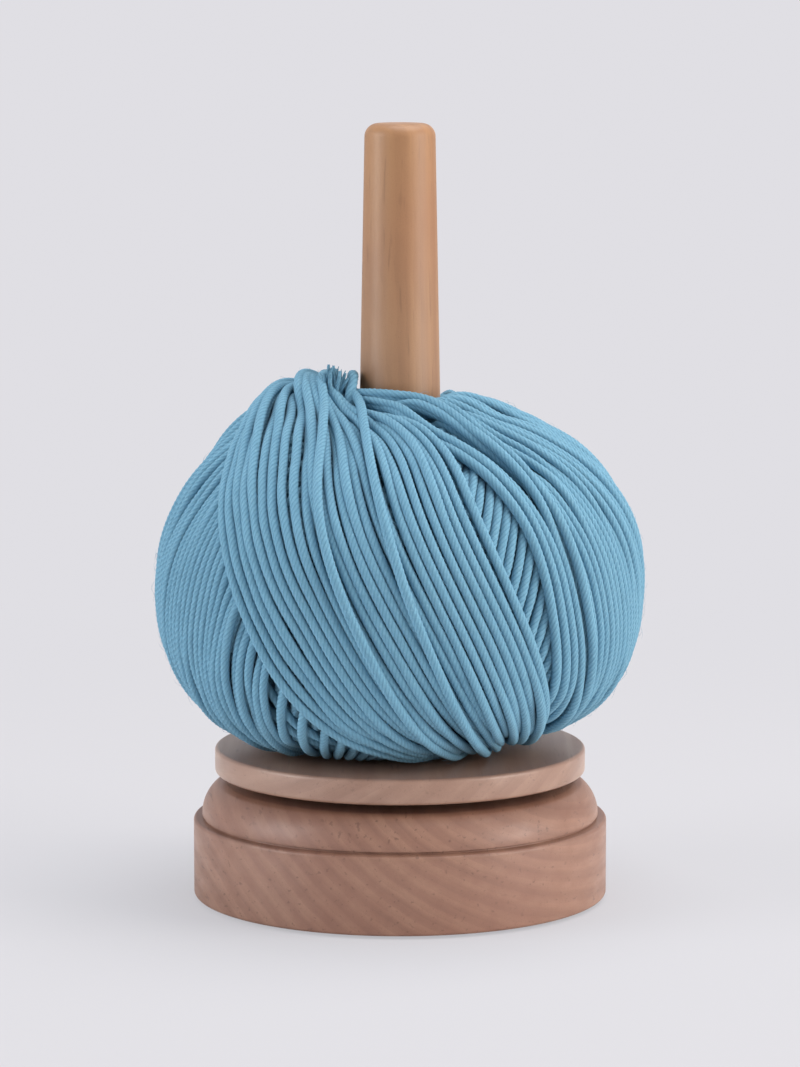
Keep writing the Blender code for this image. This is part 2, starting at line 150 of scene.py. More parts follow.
either = tree.nodes.new("ShaderNodeMixShader")
out = tree.nodes.new("ShaderNodeOutputWorld")
tree.links.new(also.outputs[0], either.inputs["Fac"])
tree.links.new(ambient.outputs[0], either.inputs[1])
tree.links.new(shown.outputs[0], either.inputs[2])
tree.links.new(either.outputs[0], out.inputs["Surface"])
bpy.context.scene.view_settings.view_transform = "Standard"
print("world", world.name)

# %% [markdown]
# ## Finishes
#
# Every finish is built from nodes. Most run on Object coordinates, so that a finish runs through a piece
# as grain runs through wood. Small helpers keep the node cells short: one starts a finish, one adds a
# node and sets or links its inputs, and the rest add the nodes that every finish needs.

# %% Helpers for finishes
def new_finish(name, roughness=0.5, metallic=0.0):
    material = bpy.data.materials.new(name)
    material.use_nodes = True
    shader = material.node_tree.nodes["Principled BSDF"]
    shader.inputs["Roughness"].default_value = roughness
    shader.inputs["Metallic"].default_value = metallic
    return material, shader


def add(material, kind, inputs=(), **own):
    """Adds a node. An input is given as a value or as another node's output."""
    made = material.node_tree.nodes.new("ShaderNode" + kind)
    for name, value in own.items():
        setattr(made, name, value)
    for name, value in dict(inputs).items():
        if isinstance(value, bpy.types.NodeSocket):
            material.node_tree.links.new(value, made.inputs[name])
        else:
            made.inputs[name].default_value = value
    return made


def object_place(material, shift=(0, 0, 0), turn=(0, 0, 0), scale=(1, 1, 1)):
    """Object coordinates, moved, turned and stretched for a pattern."""
    source = add(material, "TexCoord").outputs["Object"]
    inputs = {"Vector": source, "Location": shift, "Rotation": turn, "Scale": scale}
    return add(material, "Mapping", inputs).outputs["Vector"]


def ramp(material, value, *stops):
    """A colour ramp through (position, colour) stops."""
    made = add(material, "ValToRGB", {"Fac": value})
    elements = made.color_ramp.elements
    while len(elements) < len(stops):
        elements.new(0.5)
    for element, (position, colour) in zip(elements, stops):
        element.position = position
        element.color = (*colour, 1)
    return made.outputs["Color"]


def grey(level):
    return (level, level, level)


def noise(material, place, scale=1.0, detail=3.0, rough=0.5):
    inputs = {"Vector": place, "Scale": scale, "Detail": detail, "Roughness": rough}
    return add(material, "TexNoise", inputs).outputs["Fac"]


def mix(material, share, first, second, blend="MIX"):
    made = add(material, "Mix", data_type="RGBA", blend_type=blend)
    for socket, value in zip((made.inputs[0], made.inputs[6], made.inputs[7]), (share, first, second)):
        if isinstance(value, bpy.types.NodeSocket):
            material.node_tree.links.new(value, socket)
        else:
            socket.default_value = value if isinstance(value, float) else (*value, 1)
    return made.outputs[2]


def link(material, output, shader, name):
    material.node_tree.links.new(output, shader.inputs[name])


def bump(material, shader, height, depth, strength=1.0):
    made = add(material, "Bump", {"Height": height, "Distance": depth, "Strength": strength})
    link(material, made.outputs["Normal"], shader, "Normal")


# %% Floor
floor_size = 12
floor_drop = 0.2 * mm
floor_finish, shader = new_finish("floor_paint", roughness=0.9)
shader.inputs["Specular IOR Level"].default_value = 0.1
rays = add(floor_finish, "LightPath")
tone = mix(floor_finish, rays.outputs["Is Camera Ray"], (0.80, 0.79, 0.80), (0.52, 0.516, 0.54))
link(floor_finish, tone, shader, "Base Color")
spread = add(floor_finish, "TexGradient", {"Vector": object_place(floor_finish, scale=(2.4, 2.4, 2.4))})
spread.gradient_type = "SPHERICAL"
fade = {"Value": spread.outputs["Fac"], "From Min": 0.0, "From Max": 0.7, "To Min": 1.0, "To Max": 0.6}
near = add(floor_finish, "MapRange", fade, interpolation_type="SMOOTHSTEP")
fade = {0: near.outputs[0], 1: rays.outputs["Is Camera Ray"]}
away = add(floor_finish, "Math", fade, operation="MULTIPLY")
plain = add(floor_finish, "Emission", {"Color": backdrop_colour})
faded = add(floor_finish, "MixShader", {"Fac": away.outputs[0], 1: shader.outputs[0], 2: plain.outputs[0]})
clear = add(floor_finish, "BsdfTransparent")
from_below = add(floor_finish, "NewGeometry").outputs["Backfacing"]
seen_through = add(floor_finish, "MixShader", {"Fac": from_below, 1: faded.outputs[0], 2: clear.outputs[0]})
surface = floor_finish.node_tree.nodes["Material Output"].inputs["Surface"]
floor_finish.node_tree.links.new(seen_through.outputs[0], surface)

bpy.ops.object.select_all(action="DESELECT")
bpy.ops.mesh.primitive_plane_add(size=floor_size, location=(0, 0, -floor_drop))
floor = bpy.context.object
floor.name = "floor"
floor.data.materials.append(floor_finish)
floor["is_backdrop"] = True
print("floor", floor_size, "m wide")

# %% [markdown]
# ## Beech
#
# The holder is turned from beech: pinkish tan, with soft growth rings, short dark flecks where the rays
# are cut, and fine pores. The base and the plate are cut from a board whose grain runs away from the
# viewer, so their front shows the rings as slanting streaks. The peg is cut along the grain, so its
# streaks stand upright, and its wood is a little yellower towards the top. One recipe serves all three:
# wide and narrow rings around a pith line, with flecks, streaks and pores drawn out along the grain, and
# a thin coat of varnish over them.

# %% Beech finish
ring_spacing_at_scale_one = 0.314
fine_ring_share = 0.37
top_tint_from, top_tint_to = 0.115, 0.160


def beech(name, light, dark, pith, along, ring_width, ring_show, fleck_show, blush, varnish, top_tint=None):
    """along is the axis that the grain follows, and pith a point on the middle line of the rings. The
    shares ring_show and fleck_show say how strongly rings and flecks stand out. Blush is the colour of
    cloudy patches, and aged a tint that grows towards the top."""
    wood, shader = new_finish(name)
    drift = noise(wood, object_place(wood, shift=(0.1, 0.6, 0.3)), scale=60.0, detail=2.0)
    centred = object_place(wood, shift=[-v for v in pith])
    rings = []
    for width, profile in ((ring_width, "SIN"), (ring_width * fine_ring_share, "SAW")):
        inputs = {"Vector": centred, "Scale": ring_spacing_at_scale_one / width, "Distortion": 3.5,
                  "Detail": 2.5, "Detail Scale": 0.4, "Detail Roughness": 0.6}
        wave = add(wood, "TexWave", inputs, wave_type="RINGS", rings_direction=along, wave_profile=profile)
        rings.append(wave.outputs["Fac"])
    long = [90 if axis == along else 1100 for axis in "XYZ"]
    flecks = noise(wood, object_place(wood, scale=long), detail=2.0)
    longer = [14 if axis == along else 420 for axis in "XYZ"]
    streaks = noise(wood, object_place(wood, shift=(0.3, 0.1, 0.2), scale=longer), detail=4.0)
    patches = noise(wood, object_place(wood, shift=(0.7, 0, 0.4)), scale=34.0, detail=3.0)
    pores = noise(wood, object_place(wood), scale=5200.0, detail=1.0)

    shade = [v * 0.55 for v in dark]
    colour = mix(wood, ramp(wood, rings[0], (0.1, grey(0.0)), (0.9, grey(ring_show))), light, dark)
    thin = ramp(wood, rings[1], (0.2, grey(0.0)), (0.95, grey(ring_show * 0.5)))
    colour = mix(wood, mix(wood, 1.0, thin, drift, blend="MULTIPLY"), colour, shade)
    colour = mix(wood, ramp(wood, streaks, (0.35, grey(0.0)), (0.75, grey(0.4))), colour, dark)
    colour = mix(wood, ramp(wood, flecks, (0.63, grey(0.0)), (0.72, grey(fleck_show))), colour, shade)
    colour = mix(wood, ramp(wood, patches, (0.42, grey(0.0)), (0.72, grey(0.55))), colour, blush)
    colour = mix(wood, ramp(wood, drift, (0.35, grey(0.25)), (0.6, grey(0.0))), colour, light)
    colour = mix(wood, ramp(wood, pores, (0.55, grey(0.0)), (0.8, grey(0.25))), colour, shade)
    # The peg is tinted yellower towards its top, by height alone.
    if top_tint:
        height = add(wood, "SeparateXYZ", {"Vector": object_place(wood)}).outputs["Z"]
        upper = add(wood, "MapRange", {"Value": height, "From Min": top_tint_from, "From Max": top_tint_to})
        colour = mix(wood, upper.outputs[0], colour, mix(wood, 1.0, colour, top_tint, blend="MULTIPLY"))
    link(wood, colour, shader, "Base Color")

    sheen = ramp(wood, streaks, (0.3, grey(0.44)), (0.7, grey(0.56)))
    link(wood, sheen, shader, "Roughness")
    shader.inputs["Coat Weight"].default_value = varnish
    shader.inputs["Coat Roughness"].default_value = 0.28
    bump(wood, shader, mix(wood, 0.5, flecks, pores), 0.00006, 0.6)
    return wood


base_beech = beech("base_beech", light=(0.290, 0.153, 0.104), dark=(0.182, 0.085, 0.057),
                   pith=(0.049, 0, 0.078), along="Y", ring_width=0.0040, ring_show=0.55,
                   fleck_show=0.65, blush=(0.206, 0.086, 0.056), varnish=0.12)
plate_beech = beech("plate_beech", light=(0.330, 0.200, 0.145), dark=(0.228, 0.124, 0.087),
                    pith=(-0.06, 0.01, 0.12), along="Y", ring_width=0.0050, ring_show=0.6,
                    fleck_show=0.5, blush=(0.245, 0.128, 0.089), varnish=0.35)
peg_beech = beech("peg_beech", light=(0.335, 0.180, 0.092), dark=(0.230, 0.115, 0.060),
                  pith=(0.028, 0.021, 0), along="Z", ring_width=0.0038, ring_show=0.5,
                  fleck_show=0.4, blush=(0.262, 0.120, 0.060), varnish=0.05, top_tint=(1.03, 0.98, 0.86))
print("beech finishes", base_beech.name, plate_beech.name, peg_beech.name)

# %% [markdown]
# ## Turned pieces
#
# A lathe cuts a round piece from its outline. Here a circle is extruded and resized from point to point
# of the outline, which makes the same form with as many sides as the close view needs. The outlines
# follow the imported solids, with finer rounded edges.

# %% Helpers: select a piece, finish it, round an edge
def select_only(piece):
    bpy.ops.object.select_all(action="DESELECT")
    piece.select_set(True)
    bpy.context.view_layer.objects.active = piece


def settle(piece, finish, body, slot, *nodes):
    """Gives a finished piece its finish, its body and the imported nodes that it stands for."""
    piece.data.materials.clear()
    piece.data.materials.append(finish)
    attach(piece, body)
    if nodes:
        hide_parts(*nodes)
    print(piece.name, len(piece.data.polygons), "faces")


def bend(centre, radius, start, end, steps, rise=None):
    """Points of a rounded edge, from one angle to another in degrees, where zero points outwards."""
    angles = np.radians(np.linspace(start, end, steps + 1))
    rise = radius if rise is None else rise
    return [(centre[0] + radius * math.cos(a), centre[1] + rise * math.sin(a)) for a in angles]


# %% Helpers: turn a piece and drill it
turned_sides = 144
small_turned_sides = 112
drill_sides = 24
sharp_corner = math.radians(32)


def turned(name, outline, sides, solid):
    """Turns (radius, height) points. A solid starts and ends in a cap, anything else closes on itself."""
    first_radius, first_height = outline[0]
    fill = "NGON" if solid else "NOTHING"
    bpy.ops.object.select_all(action="DESELECT")
    bpy.ops.mesh.primitive_circle_add(vertices=sides, radius=first_radius, fill_type=fill,
                                      location=(0, 0, first_height))
    piece = bpy.context.object
    piece.name = name
    bpy.ops.object.transform_apply(location=True)
    bpy.ops.object.mode_set(mode="EDIT")
    bpy.ops.mesh.select_all(action="SELECT")
    path = outline if solid else outline + outline[:1]
    for (radius, height), (next_radius, next_height) in zip(path, path[1:]):
        bpy.ops.mesh.extrude_region_move(TRANSFORM_OT_translate={"value": (0, 0, next_height - height)})
        share = next_radius / radius
        bpy.ops.transform.resize(value=(share, share, 1), center_override=(0, 0, next_height))
    bpy.ops.mesh.select_all(action="SELECT")
    bpy.ops.mesh.remove_doubles(threshold=0.000001)
    bpy.ops.mesh.normals_make_consistent(inside=False)
    bpy.ops.object.mode_set(mode="OBJECT")
    bpy.ops.object.shade_smooth_by_angle(angle=sharp_corner)
    return piece


def cut_holes(piece, places, radius, bottom, top):
    """Bores round holes with a Boolean, as a drill would."""
    for x, y in places:
        bpy.ops.object.select_all(action="DESELECT")
        bpy.ops.mesh.primitive_cylinder_add(vertices=drill_sides, radius=radius, depth=top - bottom,
                                            location=(x, y, (bottom + top) / 2))
        drill = bpy.context.object
        select_only(piece)
        modifier = piece.modifiers.new("hole", "BOOLEAN")
        modifier.object = drill
        bpy.ops.object.modifier_apply(modifier="hole")
        bpy.data.objects.remove(drill)


# %% [markdown]
# ### Base
#
# A drum with softened edges, a narrow ledge with a fine groove cut behind it, and a convex moulding up to
# the flat top. Underneath are the recess for the felt and the hole that the spindle's head sits in, and on
# top the pocket for the bearing under its retaining plate.

# %% Base
base_low, base_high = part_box("base")
base_radius = base_high.x
pad_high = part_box("felt_pad")[1]
retainer_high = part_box("bearing_retainer")[1]
ring_low, ring_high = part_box("bearing_outer_ring")
gap = 0.3 * mm
edge_round = 0.7 * mm
spindle_hole = 7.0 * mm
ledge_height = 17.0 * mm
ledge_radius = base_radius - 1.8 * mm
groove_round = 0.3 * mm
groove_radius = ledge_radius - 0.5 * mm
moulding_foot = ledge_height + 0.6 * mm
moulding_rise = base_high.z - moulding_foot
moulding_inset = 4.0 * mm
sweep = 65
moulding_radius = moulding_inset / (1 - math.cos(math.radians(sweep)))
moulding_reach = moulding_rise / math.sin(math.radians(sweep))
rim_round = 0.35 * mm
rim_radius = ledge_radius - moulding_inset - 1.2 * mm

outline = [(spindle_hole, pad_high.z + gap), (pad_high.x + gap, pad_high.z + gap)]
outline += [(pad_high.x + gap, base_low.z)]
outline += bend((base_radius - edge_round, base_low.z + edge_round), edge_round, -90, 0, 5)
outline += bend((base_radius - edge_round, ledge_height - edge_round), edge_round, 0, 90, 6)
outline += bend((groove_radius + groove_round, ledge_height + groove_round), groove_round, -90, -270, 6)
moulding_middle = (ledge_radius - moulding_radius, moulding_foot)
outline += bend(moulding_middle, moulding_radius, 0, sweep - 4, 16, moulding_reach)
outline += bend((rim_radius, base_high.z - rim_round), rim_round, 62, 90, 2)
outline += [(retainer_high.x + gap, base_high.z), (retainer_high.x + gap, ring_high.z)]
outline += [(ring_high.x + gap, ring_high.z), (ring_high.x + gap, ring_low.z - gap)]
outline += [(spindle_hole, ring_low.z - gap)]
base = turned("turned_base", outline, turned_sides, solid=False)

# %% Screw holes in the base
screw_hole = 1.4 * mm
screw_places = []
for number in (1, 2, 3):
    low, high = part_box(f"retainer_screw_{number}")
    screw_places.append(((low.x + high.x) / 2, (low.y + high.y) / 2))
    screw_foot = low.z - gap
cut_holes(base, screw_places, screw_hole, screw_foot, ring_high.z + gap)
settle(base, base_beech, "holder_base", "turned_beech", "base")

# %% [markdown]
# ### Plate
#
# A plain disc with lightly rounded edges. Its top has the seat that the peg is glued into, and the spindle
# passes through its middle.

# %% Plate
plate_low, plate_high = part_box("spinning_plate")
peg_low, peg_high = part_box("peg")
plate_radius = plate_high.x
plate_round = 0.8 * mm
seat_radius = peg_high.x + gap
passage_radius = 3.0 * mm
outline = [(passage_radius, plate_low.z)]
outline += bend((plate_radius - plate_round, plate_low.z + plate_round), plate_round, -90, 0, 6)
outline += bend((plate_radius - plate_round, plate_high.z - plate_round), plate_round, 0, 90, 6)
outline += [(seat_radius, plate_high.z), (seat_radius, peg_low.z - gap), (passage_radius, peg_low.z - gap)]
plate = turned("turned_plate", outline, turned_sides, solid=False)
settle(plate, plate_beech, "spinner", "turned_beech", "spinning_plate")

# %% [markdown]
# ### Peg
#
# It tapers from 20 mm at its foot to 15 mm, and its tip is rounded over so that a ball of yarn slips on
# easily. A blind hole in its foot holds the threaded insert.

# %% Peg
foot_radius = peg_high.x
tip_radius = 7.4 * mm
tip_round = 2.8 * mm
insert_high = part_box("peg_insert")[1]
bolt_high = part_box("spindle_bolt")[1]
bore_end = bolt_high.z + 1.5 * mm
foot_edge = 0.3 * mm
taper_steps = 8
peg_length = peg_high.z - peg_low.z
taper_length = peg_length - tip_round
shoulder = foot_radius + (tip_radius - foot_radius) * taper_length / peg_length
outline = [(passage_radius, bore_end), (passage_radius, insert_high.z + gap),
           (insert_high.x + gap, insert_high.z + gap), (insert_high.x + gap, peg_low.z),
           (foot_radius - foot_edge, peg_low.z), (foot_radius, peg_low.z + foot_edge)]
for i in range(1, taper_steps):
    radius = foot_radius + (shoulder - foot_radius) * i / taper_steps
    outline.append((radius, peg_low.z + taper_length * i / taper_steps))
outline += bend((shoulder - tip_round, peg_high.z - tip_round), tip_round, 0, 90, 10)
peg = turned("turned_peg", outline, small_turned_sides, solid=True)
settle(peg, peg_beech, "spinner", "peg_beech", "peg")

# %% [markdown]
# ## Felt and metal
#
# The felt disc under the base is pressed wool: matte, dark, with short fibres in every direction. The
# bearing, the spindle and the screws sit inside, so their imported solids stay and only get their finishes:
# ground steel, zinc plate, pressed steel and brass.

# %% Felt disc
felt, shader = new_finish("pressed_felt", roughness=0.95)
fibres = noise(felt, object_place(felt), scale=2600.0, detail=5.0, rough=0.7)
clumps = noise(felt, object_place(felt), scale=260.0, detail=3.0)
colour = ramp(felt, fibres, (0.3, (0.028, 0.026, 0.026)), (0.75, (0.10, 0.095, 0.09)))
colour = mix(felt, ramp(felt, clumps, (0.35, grey(0.0)), (0.7, grey(0.5))), colour, (0.045, 0.042, 0.04))
link(felt, colour, shader, "Base Color")
shader.inputs["Sheen Weight"].default_value = 0.35
shader.inputs["Sheen Roughness"].default_value = 0.6
bump(felt, shader, fibres, 0.00025, 0.8)

pad_radius = pad_high.x
pad_round = 0.25 * mm
outline = [(pad_radius - pad_round, 0)]
outline += bend((pad_radius - pad_round, pad_round), pad_round, -60, 0, 3)
outline += [(pad_radius, pad_high.z), (4 * mm, pad_high.z)]
pad = turned("felt_disc", outline, small_turned_sides, solid=True)
settle(pad, felt, "holder_base", "felt", "felt_pad")


# %% Metal finishes
def metal(name, light, dark, roughness, grain):
    """Plain metal whose brightness and polish vary a little, with the fine lines of its last cut."""
    finish, shader = new_finish(name, roughness, metallic=1.0)
    cloud = noise(finish, object_place(finish), scale=420.0, detail=3.0)
    lines = noise(finish, object_place(finish, scale=(300, 300, grain)), detail=2.0)
    colour = ramp(finish, cloud, (0.3, dark), (0.7, light))
    link(finish, mix(finish, 0.3, colour, lines, blend="MULTIPLY"), shader, "Base Color")
    polish = ramp(finish, lines, (0.3, grey(roughness * 0.8)), (0.7, grey(roughness * 1.25)))
    link(finish, polish, shader, "Roughness")
    bump(finish, shader, lines, 0.00002, 0.4)
    return finish


finishes = {
    "bearing_steel": metal("ground_steel", (0.66, 0.66, 0.67), (0.56, 0.56, 0.58), 0.2, 9000),
    "zinc_steel": metal("zinc_plate", (0.60, 0.61, 0.64), (0.48, 0.49, 0.53), 0.36, 5000),
    "pressed_steel": metal("sheet_steel", (0.52, 0.52, 0.54), (0.42, 0.42, 0.44), 0.42, 3000),
    "brass": metal("turned_brass", (0.78, 0.57, 0.26), (0.66, 0.46, 0.18), 0.3, 7000),
}
for part in frame["record"]["subparts"]:
    if part["material_slot"] in finishes:
        node = frame["nodes"][part["node"]]
        for slot in node.material_slots:
            slot.material = finishes[part["material_slot"]]
print("metal nodes finished")

# %% [markdown]
# ## Yarn
#
# The ball is wound by machine: the yarn goes round and round in tilted loops, past the peg hole at the top
# on one side and at the bottom on the other, while the ball turns a little with each loop. So at the front
# the last loops lean one way, and wherever they leave a gap, the loops of half a turn earlier lean the
# other way.
#
# The routes are worked out as a winder would lay them. A loop starts as a tilted circle of directions on a
# plain rounded form, steps aside for the peg hole, and then rises wherever yarn already lies in its way.
# The last form of each loop is a curve with a twisted outline of six plies, turned into a mesh. The form
# is a little fuller at the right than at the far left, where the ball's shoulder is lower.

# %% The form that the last two layers lie on
ball_middle = 66.2 * mm
strand = 1.2 * mm
reach = {"left": 48.2 * mm, "right": 47.8 * mm, "depth": 46.4 * mm, "up": 36.9 * mm, "down": 31.6 * mm}
power_right, power_left, power_down = 2.25, 2.02, 2.5
hole_radius_top, hole_radius_foot = 8.9 * mm, 10.4 * mm


def form(directions):
    """Points of the form in these directions from the ball's middle, and the way it faces there. A power
    of 2 makes an ellipse, and a higher one a fuller form."""
    x, y, z = (directions / np.linalg.norm(directions, axis=1)[:, None]).T
    wide = np.where(x < 0, reach["left"], reach["right"])
    high = np.where(z < 0, reach["down"], reach["up"])
    turned_left = -x / np.maximum(np.hypot(x, y), 1e-9)
    leftness = np.clip(-2 * x, 0, 1) ** 2 * np.clip(6 * turned_left - 4.6, 0, 1)
    power = np.where(z < 0, power_down, power_right + (power_left - power_right) * leftness)
    flat = (x / wide) ** 2 + (y / reach["depth"]) ** 2
    size = (flat ** (power / 2) + (np.abs(z) / high) ** power) ** (-1 / power)
    x, y, z = x * size, y * size, z * size
    flat = (x / wide) ** 2 + (y / reach["depth"]) ** 2
    pull = np.maximum(flat, 1e-9) ** (power / 2 - 1)
    up = np.sign(z) * (np.abs(z) / high) ** (power - 1) / high
    facing = np.stack([pull * x / wide**2, pull * y / reach["depth"] ** 2, up], axis=1)
    facing /= np.linalg.norm(facing, axis=1)[:, None]
    return np.stack([x, y, z], axis=1).astype(np.float32), facing.astype(np.float32)


# %% One loop of yarn, before it is laid
samples = 192


def tilted_loop(azimuth, tilt_up, tilt_down, bow, wobble):
    """Directions of a loop that crosses the middle at an azimuth and leans by its tilts, all in degrees."""
    across = math.radians(azimuth)
    start = np.array([math.sin(across), -math.cos(across), 0])
    aside = np.array([-math.cos(across), -math.sin(across), 0])
    turn = np.linspace(0, math.tau, samples, endpoint=False)
    lean = (tilt_up + tilt_down) / 2 + (tilt_up - tilt_down) / 2 * np.sin(turn)
    lean -= bow * np.maximum(np.sin(turn), 0) * np.sin(2 * turn) ** 2
    for times in (1, 2, 3):
        lean += wobble[times - 1] * np.cos(times * turn) + wobble[times + 2] * np.sin(times * turn)
    lean = np.radians(lean)[:, None]
    over = aside * np.sin(lean) + np.array([0, 0, 1]) * np.cos(lean)
    return np.cos(turn)[:, None] * start + np.sin(turn)[:, None] * over


def clear_of_hole(points):
    """Pushes a route outwards where it would cross the peg hole, which narrows upwards as the peg does."""
    distance = np.hypot(points[:, 0], points[:, 1])
    rise = np.clip((points[:, 2] + 30 * mm) / (60 * mm), 0, 1)
    least = hole_radius_foot + (hole_radius_top - hole_radius_foot) * rise + strand
    wider = (distance**7 + least**7) ** (1 / 7) / np.maximum(distance, 1e-9)
    return points * np.stack([wider, wider, np.ones_like(wider)], axis=1)


# %% [markdown]
# A loop is laid by looking for yarn that is already in its way. Where a strand lies within a strand's width
# of the line that stands up from the form, the new one must pass over it. A strand can't dip sharply
# between two others, so its height is evened out like a bent wire's. Soft yarn gives a little where strands
# press on each other, and more near the hole, where they all meet. There the winder also pulls each loop
# down into the ball: a new strand only rises to a set height, and what lies below it is pressed in by the
# rest. The ball keeps its round outside that way, with a soft hump at the upper left, where the last loops
# lie, a rim around the peg, and a dip for the cut end.

# %% How a strand bends over others
sharpest_bend = 26 * mm
longest_span = 9 * mm


def evened(values, times):
    for _ in range(times):
        values = (np.roll(values, 1, axis=0) + 2 * values + np.roll(values, -1, axis=0)) / 4
    return values


def bridged(lift, step):
    """Keeps a lift from dipping faster than a strand can bend."""
    spanned = lift.copy()
    for k in range(1, int(longest_span / step) + 1):
        sag = (k * step) ** 2 / (2 * sharpest_bend)
        spanned = np.maximum(spanned, np.maximum(np.roll(lift, k), np.roll(lift, -k)) - sag)
    return spanned


# %% How high a strand may rise
hump_middle = form(np.array([[-0.53, -0.04, 0.85]]))[0][0]
cut_place = form(np.array([[-0.33, -0.21, 0.92]]))[0][0]
hump_spread, dip_spread = 9.5 * mm, 3.6 * mm
crown_radius, crown_spread = 12 * mm, 7 * mm
plain_rise, left_rise, hump_rise, dip_depth = 2.4, 1.4, 7.5, 3.6
print("hump", (hump_middle / mm).round(1), "cut end", (cut_place / mm).round(1))


def most_lift(seat):
    """The most that a strand may rise over the form: a little more at the lower left front, on the hump
    and around the peg, most of all at the peg's right front, and less at the cut end."""
    left = np.clip((-seat[:, 0] - 6 * mm) / (20 * mm), 0, 1) * np.clip(-seat[:, 1] / (15 * mm), 0, 1)
    left *= np.clip((38 * mm - seat[:, 2]) / (16 * mm), 0, 1)
    hump = np.exp(-((seat - hump_middle) ** 2).sum(1) / (2 * hump_spread**2))
    from_peg = np.hypot(seat[:, 0], seat[:, 1])
    rim = np.exp(-((from_peg - crown_radius) / crown_spread) ** 2) * (seat[:, 2] > 0)
    front = np.clip(-seat[:, 1] / (8 * mm), 0, 1)
    beside = np.clip(np.abs(seat[:, 0]) / (9 * mm), 0, 1.2)
    rim *= 1.3 + front * np.where(seat[:, 0] > 0, 1.2, -1.1) * beside
    dip = np.exp(-((seat - cut_place) ** 2).sum(1) / (2 * dip_spread**2))
    return (plain_rise + left_rise * left + hump_rise * hump + rim - dip_depth * dip) * mm


# %% Laying a loop on what is already there
give_far, give_near = 0.86, 0.34
give_from, give_over = 30 * mm, 16 * mm
dent_spread = 2.6 * mm


class Pile:
    """The loops laid so far: where each rests on the form, how the form faces there, and its lift."""

    def __init__(self, count):
        self.seat = np.zeros((count, samples, 3), np.float32)
        self.facing = np.zeros((count, samples, 3), np.float32)
        self.lift = np.zeros((count, samples), np.float32)
        self.count = 0

    def places(self):
        return self.seat + self.facing * (self.lift + strand)[..., None]

    def lay(self, directions, thick):
        seat, facing = form(directions)
        seat = clear_of_hole(seat).astype(np.float32)
        needed = np.zeros(samples, np.float32)
        done = slice(0, self.count)
        under = self.seat[done].reshape(-1, 3)
        if self.count:
            before = under + (self.facing[done] * self.lift[done][..., None]).reshape(-1, 3)
            squeeze = np.clip((give_from - np.hypot(seat[:, 0], seat[:, 1])) / give_over, 0, 1)
            width = (2 * strand * thick * (give_far - give_near * squeeze)).astype(np.float32)
            height = before @ facing.T - (seat * facing).sum(1)
            aside = (before**2).sum(1)[:, None] + (seat**2).sum(1) - 2 * before @ seat.T - height**2
            over = height + np.sqrt(np.maximum(width**2 - aside, 0))
            over[(aside > width**2) | (height < -5 * strand)] = 0
            needed = over.max(axis=0)
        step = np.linalg.norm(seat[1] - seat[0])
        lift = evened(bridged(np.clip(needed, 0, most_lift(seat)), step), 3)
        pressed = np.nonzero(needed > lift + 0.05 * mm)[0]
        if len(pressed):
            apart = (under**2).sum(1)[:, None] + (seat[pressed] ** 2).sum(1) - 2 * under @ seat[pressed].T
            near = np.exp(-np.maximum(apart, 0) / (2 * dent_spread**2))
            sink = (needed - lift)[pressed] * near
            self.lift[done] -= sink.max(axis=1).reshape(self.count, samples)
        self.seat[self.count] = seat
        self.facing[self.count] = facing
        self.lift[self.count] = lift
        self.count += 1


# %% [markdown]
# The loops come in the order of the winding: first the layer below, then the last half turn. Within a
# group every other loop is laid first, so that the ones between ride up beside the hole. At the right the
# loops lie close and are drawn tight, so they are a little thinner there. Two loops cross close in front of
# the peg. The front fan is wound last, and two strays lie across it. Between the fan and the loops to its
# right a narrow gap stays open, as in the picture, and the layer below shows in it.

# %% The order of the winding
chance = np.random.default_rng(7)


def group(first, last, count, up, down, bow=(0, 0)):
    """Loops from one azimuth to another, with their tilts above and below, and their bow in the upper
    half, all in degrees. Their tilts drift slowly, as the winder's do."""
    share = np.linspace(0, 1, count)
    azimuth = first + (last - first) * share + chance.normal(0, 0.12, count)
    drift = evened(chance.normal(0, 1.5, (count, 6)), 10) + chance.normal(0, 0.07, (count, 6))
    tilt_up = up[0] + (up[1] - up[0]) * share + chance.normal(0, 0.4, count)
    tilt_down = down[0] + (down[1] - down[0]) * share + chance.normal(0, 0.4, count)
    bows = bow[0] + (bow[1] - bow[0]) * share
    order = [*range(0, count, 2), *range(1, count, 2)]
    return [tilted_loop(azimuth[i], tilt_up[i], tilt_down[i], bows[i], drift[i]) for i in order]


below = group(319, 139, 60, up=(21, 21), down=(21, 21))
right = group(150, 50, 46, up=(16, 13), down=(18, 18))
border = group(44, 38.5, 3, up=(13, 12), down=(17, 14), bow=(-5, -8))
arch = group(49.5, 46.8, 2, up=(7, 9), down=(19, 18))
front = group(29.5, -37, 26, up=(20, 31), down=(32, 27), bow=(13, 0))
strays = [tilted_loop(4, 13, 30, 0, np.zeros(6)), tilted_loop(-11, 21, 28, 5, np.zeros(6))]
loops = below + right + border + arch + front + strays
thickness = np.full(len(loops), 0.86)
thickness[:len(below)] = 0.84
thickness[len(below):len(below) + len(right)] = 0.81
pile = Pile(len(loops))
for directions, thick in zip(loops, thickness):
    pile.lay(directions, thick)
strands = []
lowest = plate_high.z + 0.35 * mm + strand - ball_middle
for points in pile.places():
    points[:, 2] = np.maximum(points[:, 2], lowest)
    strands.append(clear_of_hole(evened(points, 2)).astype(np.float32))
print(len(loops), "loops laid, deepest", (pile.lift.min() / mm).round(1), "mm")

# %% [markdown]
# Most of the layer below is covered. A stretch of it is only made where some of its width can be seen from
# straight above, with a little more at each end to run under its neighbours.

# %% Find what shows of the layer below
cover_depth = 9 * mm
cover_width = 0.95 * strand


